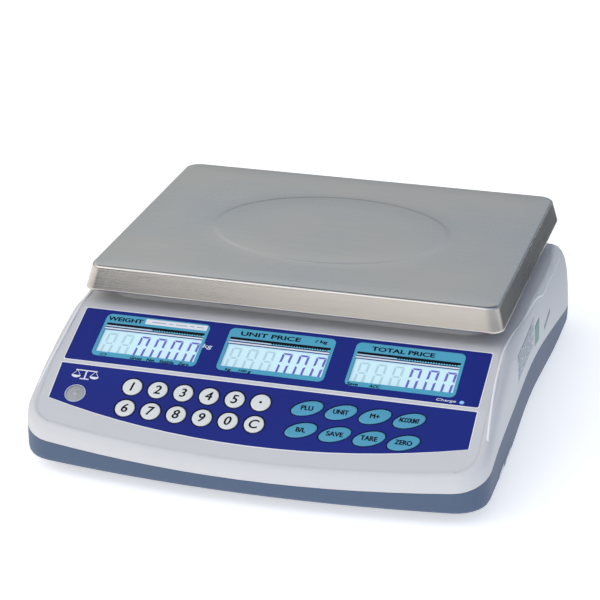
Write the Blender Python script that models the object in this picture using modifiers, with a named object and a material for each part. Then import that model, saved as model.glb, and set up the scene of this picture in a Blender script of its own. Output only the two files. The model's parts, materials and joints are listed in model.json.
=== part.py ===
"""Bench scale with a price-computing panel: housings, platter, load cell, keys and levelling feet.

Sizes are in millimetres and become metres when a mesh is made. The origin is on the floor under the
middle of the body, +X to the operator's right, +Y away from the operator, +Z up.
"""
import math

import bmesh
import bpy
import numpy
from mathutils import Matrix, Vector

MM = 0.001

# ---- driving dimensions ----
WIDTH = 315.0
DEPTH = 355.0
HEIGHT = 110.0
WALL = 2.5
GAP = 0.3

# ---- plan outline of the body ----
HALF_WIDTH = WIDTH / 2
FRONT_Y = -DEPTH / 2
BACK_Y = DEPTH / 2
FRONT_RADIUS = 930.0
CORNER_RADIUS = 24.0
CORNER_X = HALF_WIDTH - CORNER_RADIUS
FRONT_CENTRE_Y = FRONT_Y + FRONT_RADIUS
FRONT_CORNER_Y = FRONT_CENTRE_Y - math.sqrt((FRONT_RADIUS - CORNER_RADIUS) ** 2 - CORNER_X ** 2)
BACK_CORNER_Y = BACK_Y - CORNER_RADIUS
WAIST = 2.0
WAIST_Y = 17.0
WAIST_REACH = 110.0
ARC_STEPS = 7
SIDE_STATIONS = (-136, -127, -118.8, -105, -92, -80, -74, -70, -66, -61, -53, -42, -30, -15, 5, 22, 36,
                 56, 76, 94, 108, 118, 127, 134, 141)

# ---- heights ----
CREASE_Y = -118.8
CREASE_Z = 61.9
DISPLAY_TILT = math.radians(21.6)
KEYPAD_TILT = math.radians(28.5)
DECK_FRONT_Y = -50.0
LEVEL_Z = 82.0
REAR_SLOPE_Y = 134.0
REAR_SLOPE = math.tan(math.radians(27.0))
SPLIT_PEAK_Y = -30.0
SPLIT_PEAK_Z = 41.0
SPLIT_FRONT_Z = 20.7
SPLIT_BACK_Z = 24.0
EDGE_Z = 10.0
EDGE_ARCH = 3.0
EDGE_ARCH_REACH = 100.0
FLOOR_Z = 14.5
FLOOR_TOP_Z = FLOOR_Z + WALL

# (inset from the outline, share of the height from the split to the top surface)
SHOULDER = ((0.0, 0.0), (0.2, 0.35), (0.8, 0.62), (2.0, 0.80), (3.6, 0.915), (5.6, 0.98), (8.3, 1.0))
REAR_LEAN = 1.8
GROOVE_RADIUS = 0.9
GROOVE_END_Y = 36.0

# ---- deck under the platter ----
DECK_HALF_WIDTH = 136.0
DECK_BACK_Y = 150.0
DECK_TOP_Z = 91.0
DECK_CORNER = 20.0

# ---- platter ----
PLATTER_Y = 46.5
PLATTER_WIDTH = 294.0
PLATTER_DEPTH = 228.0
PLATTER_TAPER = 4.0
PLATTER_CORNER = 9.0
PLATTER_SKIRT_Z = 93.0
PLATTER_SHEET = 1.0
OVAL_HALF_WIDTH = 85.0
OVAL_HALF_DEPTH = 64.0
OVAL_STEP = 0.5
OVAL_SLOPE = 1.4
PLATTER_FLAT_Z = HEIGHT - OVAL_STEP

# ---- load path under the platter ----
SUPPORT_Z = (96.0, 104.5)
PAD_X = 112.0
PAD_DY = 80.0
PAD_RADIUS = 8.0
CELL_LENGTH = 130.0
CELL_WIDTH = 30.0
CELL_Z = (50.0, 72.0)
CELL_HOLE_RADIUS = 7.5
CELL_END_X = 50.0
SPACER_WIDTH = 30.0
BOLT_RADIUS = 3.0
BOLT_HOLE_RADIUS = 3.4
BOLT_HEAD_RADIUS = 5.0
BOLT_HEAD = 5.0
BOLT_DY = 9.0
BOLT_ENTRY = 12.0

# ---- panel, measured up the slope from the crease ----
OVERLAY_THICKNESS = 0.6
RECESS_DEPTH = 0.9
OVERLAY_HALF_WIDTH = 142.2
OVERLAY_MARGIN = 1.9
DISPLAY_OVERLAY_TOP = 51.1
KEYPAD_SIDE_BOTTOM = -31.4
KEYPAD_CENTRE_BOTTOM = -49.7
WINDOW_PITCH = 88.4
WINDOW_V = 22.7
WINDOW_SIZE = (70.0, 21.4)
DISPLAY_NAMES = ("weight_display", "unit_price_display", "total_price_display")
KEY_ROWS = (-15.0, -32.6)
NUMBER_KEY_X = -88.2
NUMBER_KEY_PITCH = 17.8
NUMBER_KEY_RADIUS = 6.6
NUMBER_KEYS = (("key_1", "key_2", "key_3", "key_4", "key_5", "key_point"),
               ("key_6", "key_7", "key_8", "key_9", "key_0", "key_clear"))
FUNCTION_KEY_X = 32.4
FUNCTION_KEY_PITCH = 22.7
FUNCTION_KEY_RADII = (10.7, 5.4)
FUNCTION_KEY_SLANT = 21.0
FUNCTION_KEYS = (("key_recall", "key_unit", "key_add", "key_account"),
                 ("key_light", "key_save", "key_tare", "key_zero"))
KEY_CLEARANCE = 0.4
KEY_PROUD = 0.45
KEY_RIM_PROUD = 0.3
KEY_EDGE_DROP = 0.25
KEY_FOOT_DEPTH = 5.7
KEY_SIDES = 20
KEYPAD_BOARD_DEPTH = 6.5
DISPLAY_BOARD_DEPTH = 7.1
BOARD = 1.6
LEVEL_X = -125.5
LEVEL_V = -25.6
LEVEL_RADIUS = 7.0
LAMP_X = 130.9
LAMP_V = 5.0
LAMP_RADIUS = 1.5

# ---- underside, back and inside ----
FOOT_X = 125.0
FOOT_Y = (-130.0, 145.0)
SOLE = (13.0, 2.5)
KNOB = (14.0, 9.5)
STUD_RADIUS = 4.0
STUD_TOP_Z = 31.0
BOSS_RADIUS = 9.0
BOSS_TOP_Z = 29.0
BATTERY_CENTRE = (88.0, -35.0)
BATTERY_SIZE = (100.0, 70.0, 47.0)
DOOR_SIZE = (108.0, 78.0, 2.0)
SWITCH_CENTRE = (128.0, -93.0)
SWITCH_SIZE = (14.0, 20.0, 18.0)
JACK_X = 90.0
JACK_Z = 33.0
JACK_RADIUS = 4.2
JACK_FLANGE_RADIUS = 6.5
JACK_FLANGE = 1.2
JACK_SOCKET_RADIUS = 2.75
JACK_LENGTH = 13.0
MAIN_BOARD_CENTRE = (-60.0, 105.0)
MAIN_BOARD_SIZE = (100.0, 60.0)
MAIN_BOARD_Z = 24.0

LIGHT_GREY = ((0.62, 0.63, 0.66), 0.42, 0.0)
SLATE = ((0.10, 0.135, 0.21), 0.5, 0.0)
STEEL = ((0.60, 0.59, 0.57), 0.3, 1.0)
CAST = ((0.55, 0.56, 0.57), 0.45, 1.0)
BLUE = ((0.012, 0.022, 0.22), 0.35, 0.0)
GLASS = ((0.62, 0.80, 0.82), 0.12, 0.0)
KEY_WHITE = ((0.72, 0.74, 0.70), 0.4, 0.0)
KEY_TEAL = ((0.06, 0.36, 0.52), 0.4, 0.0)
RUBBER = ((0.03, 0.03, 0.035), 0.85, 0.0)
BOARD_GREEN = ((0.02, 0.16, 0.07), 0.5, 0.0)
BLACK = ((0.02, 0.02, 0.022), 0.4, 0.0)
VIAL = ((0.42, 0.44, 0.46), 0.2, 0.0)
LAMP = ((0.18, 0.45, 0.95), 0.2, 0.0)


# ---------------------------------------------------------------- scene and helpers
def clear_scene():
    for item in list(bpy.data.objects):
        bpy.data.objects.remove(item, do_unlink=True)
    collections = []
    for name in ("counting_scale", "cutters"):
        collection = bpy.data.collections.new(name)
        bpy.context.scene.collection.children.link(collection)
        collections.append(collection)
    return collections


PARTS, CUTTERS = clear_scene()


def material(name, look):
    colour, roughness, metallic = look
    made = bpy.data.materials.new(name)
    made.use_nodes = True
    shader = made.node_tree.nodes["Principled BSDF"]
    shader.inputs["Base Color"].default_value = (*colour, 1.0)
    shader.inputs["Roughness"].default_value = roughness
    shader.inputs["Metallic"].default_value = metallic
    return made


def finish(name, bm, look=None, place=None, smooth=True):
    """Turn a bmesh in millimetres into an object; without a look it is a cutter."""
    bmesh.ops.recalc_face_normals(bm, faces=bm.faces)
    bmesh.ops.scale(bm, vec=(MM, MM, MM), verts=bm.verts)
    mesh = bpy.data.meshes.new(name)
    bm.to_mesh(mesh)
    bm.free()
    made = bpy.data.objects.new(name, mesh)
    if look:
        PARTS.objects.link(made)
        mesh.materials.append(material(name, look))
        if smooth:
            mesh.shade_smooth()
            mesh.set_sharp_from_angle(angle=math.radians(32))
    else:
        CUTTERS.objects.link(made)
        made.hide_render = True
        made.display_type = "WIRE"
    if place is not None:
        made.matrix_world = place
    return made


def at(x, y, z=0.0):
    return Matrix.Translation(Vector((x, y, z)) * MM)


def panel(tilt, x=0.0, v=0.0, out=0.0):
    """A place on the panel: x across, v up the slope from the crease, out along the normal."""
    crease = at(0.0, CREASE_Y, CREASE_Z)
    return crease @ Matrix.Rotation(tilt, 4, "X") @ at(x, v, out)


def box_mesh(size, centre=(0.0, 0.0, 0.0)):
    bm = bmesh.new()
    bmesh.ops.create_cube(bm, size=1.0)
    bmesh.ops.scale(bm, vec=size, verts=bm.verts)
    bmesh.ops.translate(bm, vec=centre, verts=bm.verts)
    return bm


def cylinder_mesh(radius, z_low, z_high, segments=24, squash=1.0):
    bm = bmesh.new()
    bmesh.ops.create_cone(bm, cap_ends=True, segments=segments, radius1=radius, radius2=radius,
                          depth=z_high - z_low)
    bmesh.ops.translate(bm, vec=(0, 0, (z_low + z_high) / 2), verts=bm.verts)
    bmesh.ops.scale(bm, vec=(1.0, squash, 1.0), verts=bm.verts)
    return bm


def prism_mesh(outline, z_low, z_high):
    bm = bmesh.new()
    face = bm.faces.new([bm.verts.new((x, y, z_low)) for x, y in outline])
    grown = bmesh.ops.extrude_face_region(bm, geom=[face])
    top = [item for item in grown["geom"] if isinstance(item, bmesh.types.BMVert)]
    bmesh.ops.translate(bm, vec=(0, 0, z_high - z_low), verts=top)
    return bm


def turned(name, profile, look, place, segments=20, squash=1.0):
    """A solid turned about Z from (radius, height) points listed from top to bottom."""
    bm = bmesh.new()
    corners = [bm.verts.new((radius, 0.0, height)) for radius, height in profile]
    for first, second in zip(corners, corners[1:]):
        bm.edges.new((first, second))
    bmesh.ops.spin(bm, geom=bm.verts[:] + bm.edges[:], axis=(0, 0, 1), cent=(0, 0, 0),
                   angle=math.tau, steps=segments, use_merge=True)
    bmesh.ops.remove_doubles(bm, verts=bm.verts, dist=0.001)
    bmesh.ops.scale(bm, vec=(1.0, squash, 1.0), verts=bm.verts)
    return finish(name, bm, look, place)


def boolean(target, other, operation="DIFFERENCE"):
    modifier = target.modifiers.new(other.name, "BOOLEAN")
    modifier.operation = operation
    modifier.object = other
    modifier.solver = "EXACT"
    return target


def drill(target, radius, z_low, z_high, place, segments=20, squash=1.0):
    name = f"{target.name}_hole_{len(target.modifiers)}"
    cutter = finish(name, cylinder_mesh(radius, z_low, z_high, segments, squash), None, place)
    return boolean(target, cutter)


def slot(target, size, place):
    name = f"{target.name}_slot_{len(target.modifiers)}"
    return boolean(target, finish(name, box_mesh(size), None, place))


def bevel(target, width, segments=2, angle=40.0):
    modifier = target.modifiers.new("bevel", "BEVEL")
    modifier.width = width * MM
    modifier.segments = segments
    modifier.limit_method = "ANGLE"
    modifier.angle_limit = math.radians(angle)
    return target


def rounded_rectangle(x_low, x_high, y_low, y_high, radius, steps=6):
    points = []
    corners = ((x_high, y_high, 0), (x_low, y_high, 90), (x_low, y_low, 180), (x_high, y_low, 270))
    for x, y, start in corners:
        centre_x = x - math.copysign(radius, x - (x_low + x_high) / 2)
        centre_y = y - math.copysign(radius, y - (y_low + y_high) / 2)
        for step in range(steps + 1):
            angle = math.radians(start + 90 * step / steps)
            points.append((centre_x + radius * math.cos(angle), centre_y + radius * math.sin(angle)))
    return points


# ---------------------------------------------------------------- body outline and heights
def rise(value, start, end):
    share = min(max((value - start) / (end - start), 0.0), 1.0)
    return share * share * (3 - 2 * share)


def soft_min(first, second, width):
    low, high = min(first, second), max(first, second)
    return low - width * math.log1p(math.exp((low - high) / width))


def waist(y):
    reach = (y - WAIST_Y) / WAIST_REACH
    return WAIST * math.cos(reach * math.pi / 2) ** 2 if abs(reach) < 1 else 0.0


def half_outline():
    """Right half of the plan outline from front centre to back corner: (x, y, normal x, normal y)."""
    samples = []
    front_end = math.asin(CORNER_X / (FRONT_RADIUS - CORNER_RADIUS))
    for step in range(ARC_STEPS + 1):
        angle = front_end * step / ARC_STEPS
        samples.append((FRONT_RADIUS * math.sin(angle), FRONT_CENTRE_Y - FRONT_RADIUS * math.cos(angle),
                        math.sin(angle), -math.cos(angle)))
    for step in range(1, ARC_STEPS + 1):
        angle = front_end + (math.pi / 2 - front_end) * step / ARC_STEPS
        samples.append(corner_sample(FRONT_CORNER_Y, angle))
    for y in SIDE_STATIONS:
        samples.append((HALF_WIDTH - waist(y), y, 1.0, 0.0))
    for step in range(ARC_STEPS + 1):
        samples.append(corner_sample(BACK_CORNER_Y, math.pi / 2 * (1 + step / ARC_STEPS)))
    return samples


def corner_sample(centre_y, angle):
    return (CORNER_X + CORNER_RADIUS * math.sin(angle), centre_y - CORNER_RADIUS * math.cos(angle),
            math.sin(angle), -math.cos(angle))


def shoulder_scale(y):
    """The rounded edge is wide beside the panel and narrow along the front and beside the platter."""
    if y < CREASE_Y:
        return 0.6 + 0.4 * rise(y, -172.0, -140.0)
    return 1.0 + 0.25 * rise(y, -100.0, -70.0) - 0.75 * rise(y, -64.0, -14.0) + 0.8 * rise(y, 90.0, 145.0)


def top_height(y):
    """Top surface: keypad slope, display slope, level beside the platter, falling at the back."""
    if y < CREASE_Y:
        return CREASE_Z + (y - CREASE_Y) * math.tan(KEYPAD_TILT)
    display_slope = CREASE_Z + (y - CREASE_Y) * math.tan(DISPLAY_TILT)
    rear_slope = LEVEL_Z - REAR_SLOPE * (y - REAR_SLOPE_Y)
    return soft_min(display_slope, soft_min(LEVEL_Z, rear_slope, 2.0), 0.8)


def split_height(y):
    if y < SPLIT_PEAK_Y:
        share = (SPLIT_PEAK_Y - y) / (SPLIT_PEAK_Y - FRONT_Y)
        return SPLIT_PEAK_Z - (SPLIT_PEAK_Z - SPLIT_FRONT_Z) * share ** 3.3
    share = (y - SPLIT_PEAK_Y) / 165.5
    return max(SPLIT_PEAK_Z - 15.0 * share ** 2, SPLIT_BACK_Z)


def edge_height(y):
    if abs(y) > EDGE_ARCH_REACH:
        return EDGE_Z
    return EDGE_Z + EDGE_ARCH * math.cos(y / EDGE_ARCH_REACH * math.pi / 2) ** 2


def ring(inset_of, height_of):
    """A closed ring: right half front to back, then the mirrored left half back to front."""
    right = []
    for x, y, normal_x, normal_y in half_outline():
        inset = inset_of(y)
        point_x, point_y = x - normal_x * inset, y - normal_y * inset
        right.append((point_x, point_y, height_of(y, point_y)))
    left = [(-x, y, z) for x, y, z in reversed(right[1:])]
    return right + left


def ladder(bm, verts, half_count):
    """Close a mirrored ring with flat strips across X."""
    count = len(verts)
    bm.faces.new((verts[0], verts[1], verts[count - 1]))
    for index in range(1, half_count - 1):
        bm.faces.new((verts[index], verts[index + 1], verts[count - index - 1], verts[count - index]))


def join_rows(bm, rows):
    """Bands of quads between neighbouring closed rings that have the same number of points."""
    count = len(rows[0])
    for lower, upper in zip(rows, rows[1:]):
        for index in range(count):
            following = (index + 1) % count
            bm.faces.new((lower[index], lower[following], upper[following], upper[index]))


def loft_mesh(rings):
    bm = bmesh.new()
    rows = [[bm.verts.new(point) for point in points] for points in rings]
    join_rows(bm, rows)
    half_count = len(half_outline())
    ladder(bm, rows[0], half_count)
    ladder(bm, rows[-1], half_count)
    return bm


# ---------------------------------------------------------------- housings
def top_rings(inset, drop, bottom_extra):
    rings = []
    for depth, share in SHOULDER:
        def inset_of(y, depth=depth, share=share):
            return inset + depth * shoulder_scale(y) + share * REAR_LEAN * rise(y, 50.0, 130.0)

        def height_of(y, point_y, share=share):
            low = split_height(y) + GAP / 2
            height = low + share * (top_height(point_y) - drop - low)
            return height - (bottom_extra if share == 0.0 else 0.0)
        rings.append(ring(inset_of, height_of))
    return rings


def groove_path():
    """Along the inner line of the rounded edge, moving outward near its end beside the platter."""
    insets, shares = zip(*SHOULDER)
    path = []
    for x, y, normal_x, normal_y in half_outline():
        if y > GROOVE_END_Y:
            break
        depth = insets[-1] * (1.0 - 0.4 * rise(y, -20.0, GROOVE_END_Y))
        inset = depth * shoulder_scale(y)
        point_x, point_y = x - normal_x * inset, y - normal_y * inset
        low = split_height(y)
        height = low + numpy.interp(depth, insets, shares) * (top_height(point_y) - low)
        path.append((point_x, point_y, height + 0.35 * GROOVE_RADIUS))
    return [(-x, y, z) for x, y, z in reversed(path[1:])] + path


def groove_cutter():
    path = groove_path()
    curve = bpy.data.curves.new("groove_path", "CURVE")
    curve.dimensions = "3D"
    curve.bevel_depth = GROOVE_RADIUS * MM
    curve.bevel_resolution = 0
    curve.use_fill_caps = True
    spline = curve.splines.new("POLY")
    spline.points.add(len(path) - 1)
    for point, place in zip(spline.points, path):
        point.co = (*(Vector(place) * MM), 1.0)
    guide = bpy.data.objects.new("groove_path", curve)
    CUTTERS.objects.link(guide)
    bpy.context.view_layer.update()
    mesh = bpy.data.meshes.new_from_object(guide.evaluated_get(bpy.context.evaluated_depsgraph_get()))
    bpy.data.objects.remove(guide, do_unlink=True)
    bm = bmesh.new()
    bm.from_mesh(mesh)
    bmesh.ops.remove_doubles(bm, verts=bm.verts, dist=1e-6)
    bmesh.ops.scale(bm, vec=(1 / MM, 1 / MM, 1 / MM), verts=bm.verts)
    return finish("groove_cutter", bm)


def deck_mesh(shrink, z_low, z_high):
    outline = rounded_rectangle(-DECK_HALF_WIDTH + shrink, DECK_HALF_WIDTH - shrink,
                                DECK_FRONT_Y + shrink, DECK_BACK_Y - shrink, DECK_CORNER - shrink)
    return prism_mesh(outline, z_low, z_high)


def display_outline(grow=0.0):
    half = OVERLAY_HALF_WIDTH + grow
    return rounded_rectangle(-half, half, OVERLAY_MARGIN - grow, DISPLAY_OVERLAY_TOP + grow, 1.5, 3)


def keypad_outline(grow=0.0):
    """Straight top and sides, with the lower edge an arc that follows the front of the body."""
    half = OVERLAY_HALF_WIDTH + grow
    sag = KEYPAD_SIDE_BOTTOM - KEYPAD_CENTRE_BOTTOM
    radius = (half ** 2 + sag ** 2) / (2 * sag)
    reach = math.asin(half / radius)
    centre_v = KEYPAD_CENTRE_BOTTOM - grow + radius
    steps = 16
    points = [(half, -OVERLAY_MARGIN + grow), (-half, -OVERLAY_MARGIN + grow)]
    for step in range(steps + 1):
        angle = -reach + 2 * reach * step / steps
        points.append((radius * math.sin(angle), centre_v - radius * math.cos(angle)))
    return points


def window_places():
    for index, name in enumerate(DISPLAY_NAMES):
        yield name, (index - 1) * WINDOW_PITCH


def key_places():
    """Each key's name, its place on the panel and its two radii; the oval keys are slanted."""
    slant = Matrix.Rotation(math.radians(FUNCTION_KEY_SLANT), 4, "Z")
    for names, v in zip(NUMBER_KEYS, KEY_ROWS):
        for index, name in enumerate(names):
            x = NUMBER_KEY_X + index * NUMBER_KEY_PITCH
            yield name, panel(KEYPAD_TILT, x, v), (NUMBER_KEY_RADIUS, NUMBER_KEY_RADIUS)
    for names, v in zip(FUNCTION_KEYS, KEY_ROWS):
        for index, name in enumerate(names):
            x = FUNCTION_KEY_X + index * FUNCTION_KEY_PITCH
            yield name, panel(KEYPAD_TILT, x, v) @ slant, FUNCTION_KEY_RADII


def cut_keys(target, z_low, z_high):
    for _, place, (radius, short) in key_places():
        hole = radius + KEY_CLEARANCE
        squash = (short + KEY_CLEARANCE) / hole
        drill(target, hole, z_low, z_high, place, KEY_SIDES, squash)
    drill(target, LEVEL_RADIUS + KEY_CLEARANCE, z_low, z_high, panel(KEYPAD_TILT, LEVEL_X, LEVEL_V))


def jack_place():
    """The power inlet's place, with its local Z pointing out of the back."""
    return at(JACK_X, BACK_Y, JACK_Z) @ Matrix.Rotation(-math.pi / 2, 4, "X")


def top_housing():
    housing = finish("top_housing", loft_mesh(top_rings(0.0, 0.0, 0.0)), LIGHT_GREY)
    boolean(housing, finish("deck_outer", deck_mesh(0.0, 50.0, DECK_TOP_Z)), "UNION")
    boolean(housing, finish("housing_inner", loft_mesh(top_rings(WALL, WALL, 6.0))))
    boolean(housing, finish("deck_inner", deck_mesh(WALL, 45.0, DECK_TOP_Z - WALL)))
    boolean(housing, groove_cutter())
    boolean(housing, finish("display_recess", prism_mesh(display_outline(GAP), -RECESS_DEPTH, 3.0),
                            None, panel(DISPLAY_TILT)))
    boolean(housing, finish("keypad_recess", prism_mesh(keypad_outline(GAP), -RECESS_DEPTH, 3.0),
                            None, panel(KEYPAD_TILT)))
    for _, x in window_places():
        slot(housing, (WINDOW_SIZE[0] + 3.0, WINDOW_SIZE[1] + 3.0, 10.0), panel(DISPLAY_TILT, x, WINDOW_V))
    cut_keys(housing, -6.0, 3.0)
    drill(housing, LAMP_RADIUS + KEY_CLEARANCE, -6.0, 3.0, panel(DISPLAY_TILT, LAMP_X, LAMP_V), 12)
    slot(housing, (46.0, 46.0, 12.0), at(CELL_END_X, PLATTER_Y, DECK_TOP_Z))
    drill(housing, JACK_RADIUS + KEY_CLEARANCE, -6.0, 6.0, jack_place(), 16)
    drill(housing, JACK_FLANGE_RADIUS + KEY_CLEARANCE, -JACK_FLANGE - 2 * GAP, 6.0, jack_place(), 20)
    return housing


def bottom_rings():
    """Rings from the split down the wall, under the rolled lower edge and up to the floor."""
    levels = ((0.0, None), (0.0, 5.0), (0.3, 2.2), (1.1, 0.6), (2.6, 0.0), (7.5, 0.0))
    rings = []
    for depth, above_edge in levels:
        def height_of(y, point_y, above_edge=above_edge):
            if above_edge is None:
                return split_height(y) - GAP / 2
            return edge_height(y) + above_edge
        rings.append(ring(lambda y, depth=depth: depth, height_of))
    rings.append(ring(lambda y: 9.0, lambda y, point_y: FLOOR_Z))
    return rings


def bottom_inner_rings():
    return [ring(lambda y: WALL, lambda y, point_y: split_height(y) + 5.0),
            ring(lambda y: WALL, lambda y, point_y: FLOOR_TOP_Z + 3.0),
            ring(lambda y: WALL + 3.0, lambda y, point_y: FLOOR_TOP_Z)]


def foot_places():
    for index, (side, y) in enumerate(((-1, FOOT_Y[0]), (1, FOOT_Y[0]), (-1, FOOT_Y[1]), (1, FOOT_Y[1]))):
        yield index + 1, side * FOOT_X, y


def bottom_housing():
    housing = finish("bottom_housing", loft_mesh(bottom_rings()), SLATE)
    boolean(housing, finish("bottom_inner", loft_mesh(bottom_inner_rings())))
    for index, x, y in foot_places():
        boss = cylinder_mesh(BOSS_RADIUS, FLOOR_Z + 1.0, BOSS_TOP_Z)
        boolean(housing, finish(f"foot_boss_{index}", boss, None, at(x, y)), "UNION")
    for _, x, y in foot_places():
        drill(housing, STUD_RADIUS + KEY_CLEARANCE, FLOOR_Z - 3.0, BOSS_TOP_Z + 3.0, at(x, y))
    slot(housing, (DOOR_SIZE[0] + 1.0, DOOR_SIZE[1] + 1.0, 10.0), at(*BATTERY_CENTRE, FLOOR_Z))
    slot(housing, (SWITCH_SIZE[0] + 0.8, SWITCH_SIZE[1] + 0.8, 10.0), at(*SWITCH_CENTRE, FLOOR_Z))
    for side in (-1, 1):
        drill(housing, BOLT_HOLE_RADIUS, FLOOR_Z - 3.0, FLOOR_TOP_Z + 3.0,
              at(-CELL_END_X, PLATTER_Y + side * BOLT_DY), 16)
    return housing


# ---------------------------------------------------------------- platter and load path
def platter_ring(inset, radius, z):
    outline = rounded_rectangle(inset - PLATTER_WIDTH / 2, PLATTER_WIDTH / 2 - inset,
                                inset - PLATTER_DEPTH / 2, PLATTER_DEPTH / 2 - inset, radius, 7)
    return [(x, y + PLATTER_Y, z) for x, y in outline]


def oval(name, shrink, z_low, z_high):
    """An oval disc whose edge slopes, as the pressed step does."""
    radius = OVAL_HALF_WIDTH - shrink
    bm = bmesh.new()
    bmesh.ops.create_cone(bm, cap_ends=True, segments=48, radius1=radius, radius2=radius - OVAL_SLOPE,
                          depth=z_high - z_low)
    bmesh.ops.scale(bm, vec=(1.0, OVAL_HALF_DEPTH / OVAL_HALF_WIDTH, 1.0), verts=bm.verts)
    return finish(name, bm, None, at(0, PLATTER_Y, (z_low + z_high) / 2))


def platter():
    """Pressed tray: flared skirt, small rolled edge, flat top and a raised oval in the middle."""
    flat = PLATTER_FLAT_Z
    rings = [platter_ring(0.0, PLATTER_CORNER + 2, PLATTER_SKIRT_Z)]
    for inset, drop in ((PLATTER_TAPER - 0.4, 2.4), (PLATTER_TAPER + 0.5, 0.8), (PLATTER_TAPER + 2.2, 0.0)):
        rings.append(platter_ring(inset, PLATTER_CORNER, flat - drop))
    bm = bmesh.new()
    rows = [[bm.verts.new(point) for point in points] for points in rings]
    join_rows(bm, rows)
    bm.faces.new(rows[-1])
    made = finish("platter", bm, STEEL)
    sheet = made.modifiers.new("sheet", "SOLIDIFY")
    sheet.thickness = PLATTER_SHEET * MM
    sheet.offset = -1.0
    sheet.use_even_offset = True
    boolean(made, oval("oval_top", 0.0, flat, HEIGHT), "UNION")
    boolean(made, oval("oval_under", 0.8, flat - 2 * PLATTER_SHEET, HEIGHT - PLATTER_SHEET))
    return made


def pad_places():
    index = 0
    for side_y in (-1, 1):
        for side_x in (-1, 1):
            index += 1
            yield index, side_x * PAD_X, PLATTER_Y + side_y * PAD_DY


def platter_support():
    """Cast spider: a centre plate with four arms, each ending in a round boss under a pad."""
    low, high = SUPPORT_Z
    height = high - low
    middle = (low + high) / 2
    support = finish("platter_support", box_mesh((140.0, 76.0, height)), CAST,
                     at(0, PLATTER_Y, middle), False)
    for sign in (-1, 1):
        length = 2 * math.hypot(PAD_X, PAD_DY)
        turn = Matrix.Rotation(sign * math.atan2(PAD_DY, PAD_X), 4, "Z")
        arm = finish(f"support_arm_{sign + 2}", box_mesh((length, 20.0, height - 1.2)), None,
                     at(0, PLATTER_Y, middle - 0.3) @ turn)
        boolean(support, arm, "UNION")
    for index, x, y in pad_places():
        end = finish(f"support_end_{index}", cylinder_mesh(14.0, low - 0.4, high + 0.4), None, at(x, y))
        boolean(support, end, "UNION")
    for side in (-1, 1):
        place = at(CELL_END_X, PLATTER_Y + side * BOLT_DY)
        drill(support, BOLT_HOLE_RADIUS, low - 3.0, high + 3.0, place, 16)
        drill(support, BOLT_HEAD_RADIUS + 0.5, high - BOLT_HEAD, high + 3.0, place, 16)
    return support


def platter_pads():
    low = SUPPORT_Z[1] + 0.4 + GAP
    high = PLATTER_FLAT_Z - PLATTER_SHEET - GAP
    for index, x, y in pad_places():
        turned(f"platter_pad_{index}", ((0, high), (PAD_RADIUS - 0.6, high), (PAD_RADIUS, high - 0.6),
                                        (PAD_RADIUS, low), (0, low)), RUBBER, at(x, y), 16)


def load_cell():
    """Single-point cell: an aluminium beam thinned by two joined round holes."""
    middle = (CELL_Z[0] + CELL_Z[1]) / 2
    cell = finish("load_cell", box_mesh((CELL_LENGTH, CELL_WIDTH, CELL_Z[1] - CELL_Z[0])), CAST,
                  at(0, PLATTER_Y, middle), False)
    across = Matrix.Rotation(math.pi / 2, 4, "X")
    for x in (-14.0, 14.0):
        drill(cell, CELL_HOLE_RADIUS, -CELL_WIDTH, CELL_WIDTH, at(x, PLATTER_Y, middle) @ across, 20)
    slot(cell, (28.0, 2 * CELL_WIDTH, 6.0), at(0, PLATTER_Y, middle))
    for side in (-1, 1):
        y = PLATTER_Y + side * BOLT_DY
        drill(cell, BOLT_HOLE_RADIUS, CELL_Z[0] - 3.0, CELL_Z[0] + BOLT_ENTRY + 1.0, at(-CELL_END_X, y), 16)
        drill(cell, BOLT_HOLE_RADIUS, CELL_Z[1] - BOLT_ENTRY - 1.0, CELL_Z[1] + 3.0, at(CELL_END_X, y), 16)
    return cell


def spacer(name, x, z_low, z_high):
    made = finish(name, box_mesh((SPACER_WIDTH, 36.0, z_high - z_low)), CAST,
                  at(x, PLATTER_Y, (z_low + z_high) / 2), False)
    for side in (-1, 1):
        drill(made, BOLT_HOLE_RADIUS, z_low - 3.0, z_high + 3.0, at(x, PLATTER_Y + side * BOLT_DY), 16)
    return made


def bolt(name, x, y, z_head, z_end):
    """A bolt whose head's outer face is at z_head and whose shank ends at z_end."""
    way = 1 if z_head > z_end else -1
    profile = [(0, z_head), (BOLT_HEAD_RADIUS, z_head), (BOLT_HEAD_RADIUS, z_head - way * (BOLT_HEAD - GAP)),
               (BOLT_RADIUS, z_head - way * (BOLT_HEAD - GAP)), (BOLT_RADIUS, z_end), (0, z_end)]
    turned(name, profile, STEEL, at(x, y), 16)


def load_path():
    load_cell()
    spacer("lower_spacer", -CELL_END_X, FLOOR_TOP_Z + GAP, CELL_Z[0] - GAP)
    spacer("upper_spacer", CELL_END_X, CELL_Z[1] + GAP, SUPPORT_Z[0] - GAP)
    platter_support()
    platter_pads()
    for index, side in enumerate((-1, 1)):
        y = PLATTER_Y + side * BOLT_DY
        bolt(f"lower_bolt_{index + 1}", -CELL_END_X, y, FLOOR_Z - BOLT_HEAD, CELL_Z[0] + BOLT_ENTRY)
        bolt(f"upper_bolt_{index + 1}", CELL_END_X, y, SUPPORT_Z[1], CELL_Z[1] - BOLT_ENTRY)


# ---------------------------------------------------------------- panel
def overlays():
    display = finish("display_overlay", prism_mesh(display_outline(), -OVERLAY_THICKNESS, 0.0), BLUE,
                     panel(DISPLAY_TILT), False)
    for _, x in window_places():
        slot(display, (*WINDOW_SIZE, 4.0), panel(DISPLAY_TILT, x, WINDOW_V))
    drill(display, LAMP_RADIUS + KEY_CLEARANCE, -3.0, 3.0, panel(DISPLAY_TILT, LAMP_X, LAMP_V), 12)
    keypad = finish("keypad_overlay", prism_mesh(keypad_outline(), -OVERLAY_THICKNESS, 0.0), BLUE,
                    panel(KEYPAD_TILT), False)
    cut_keys(keypad, -3.0, 3.0)


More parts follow.
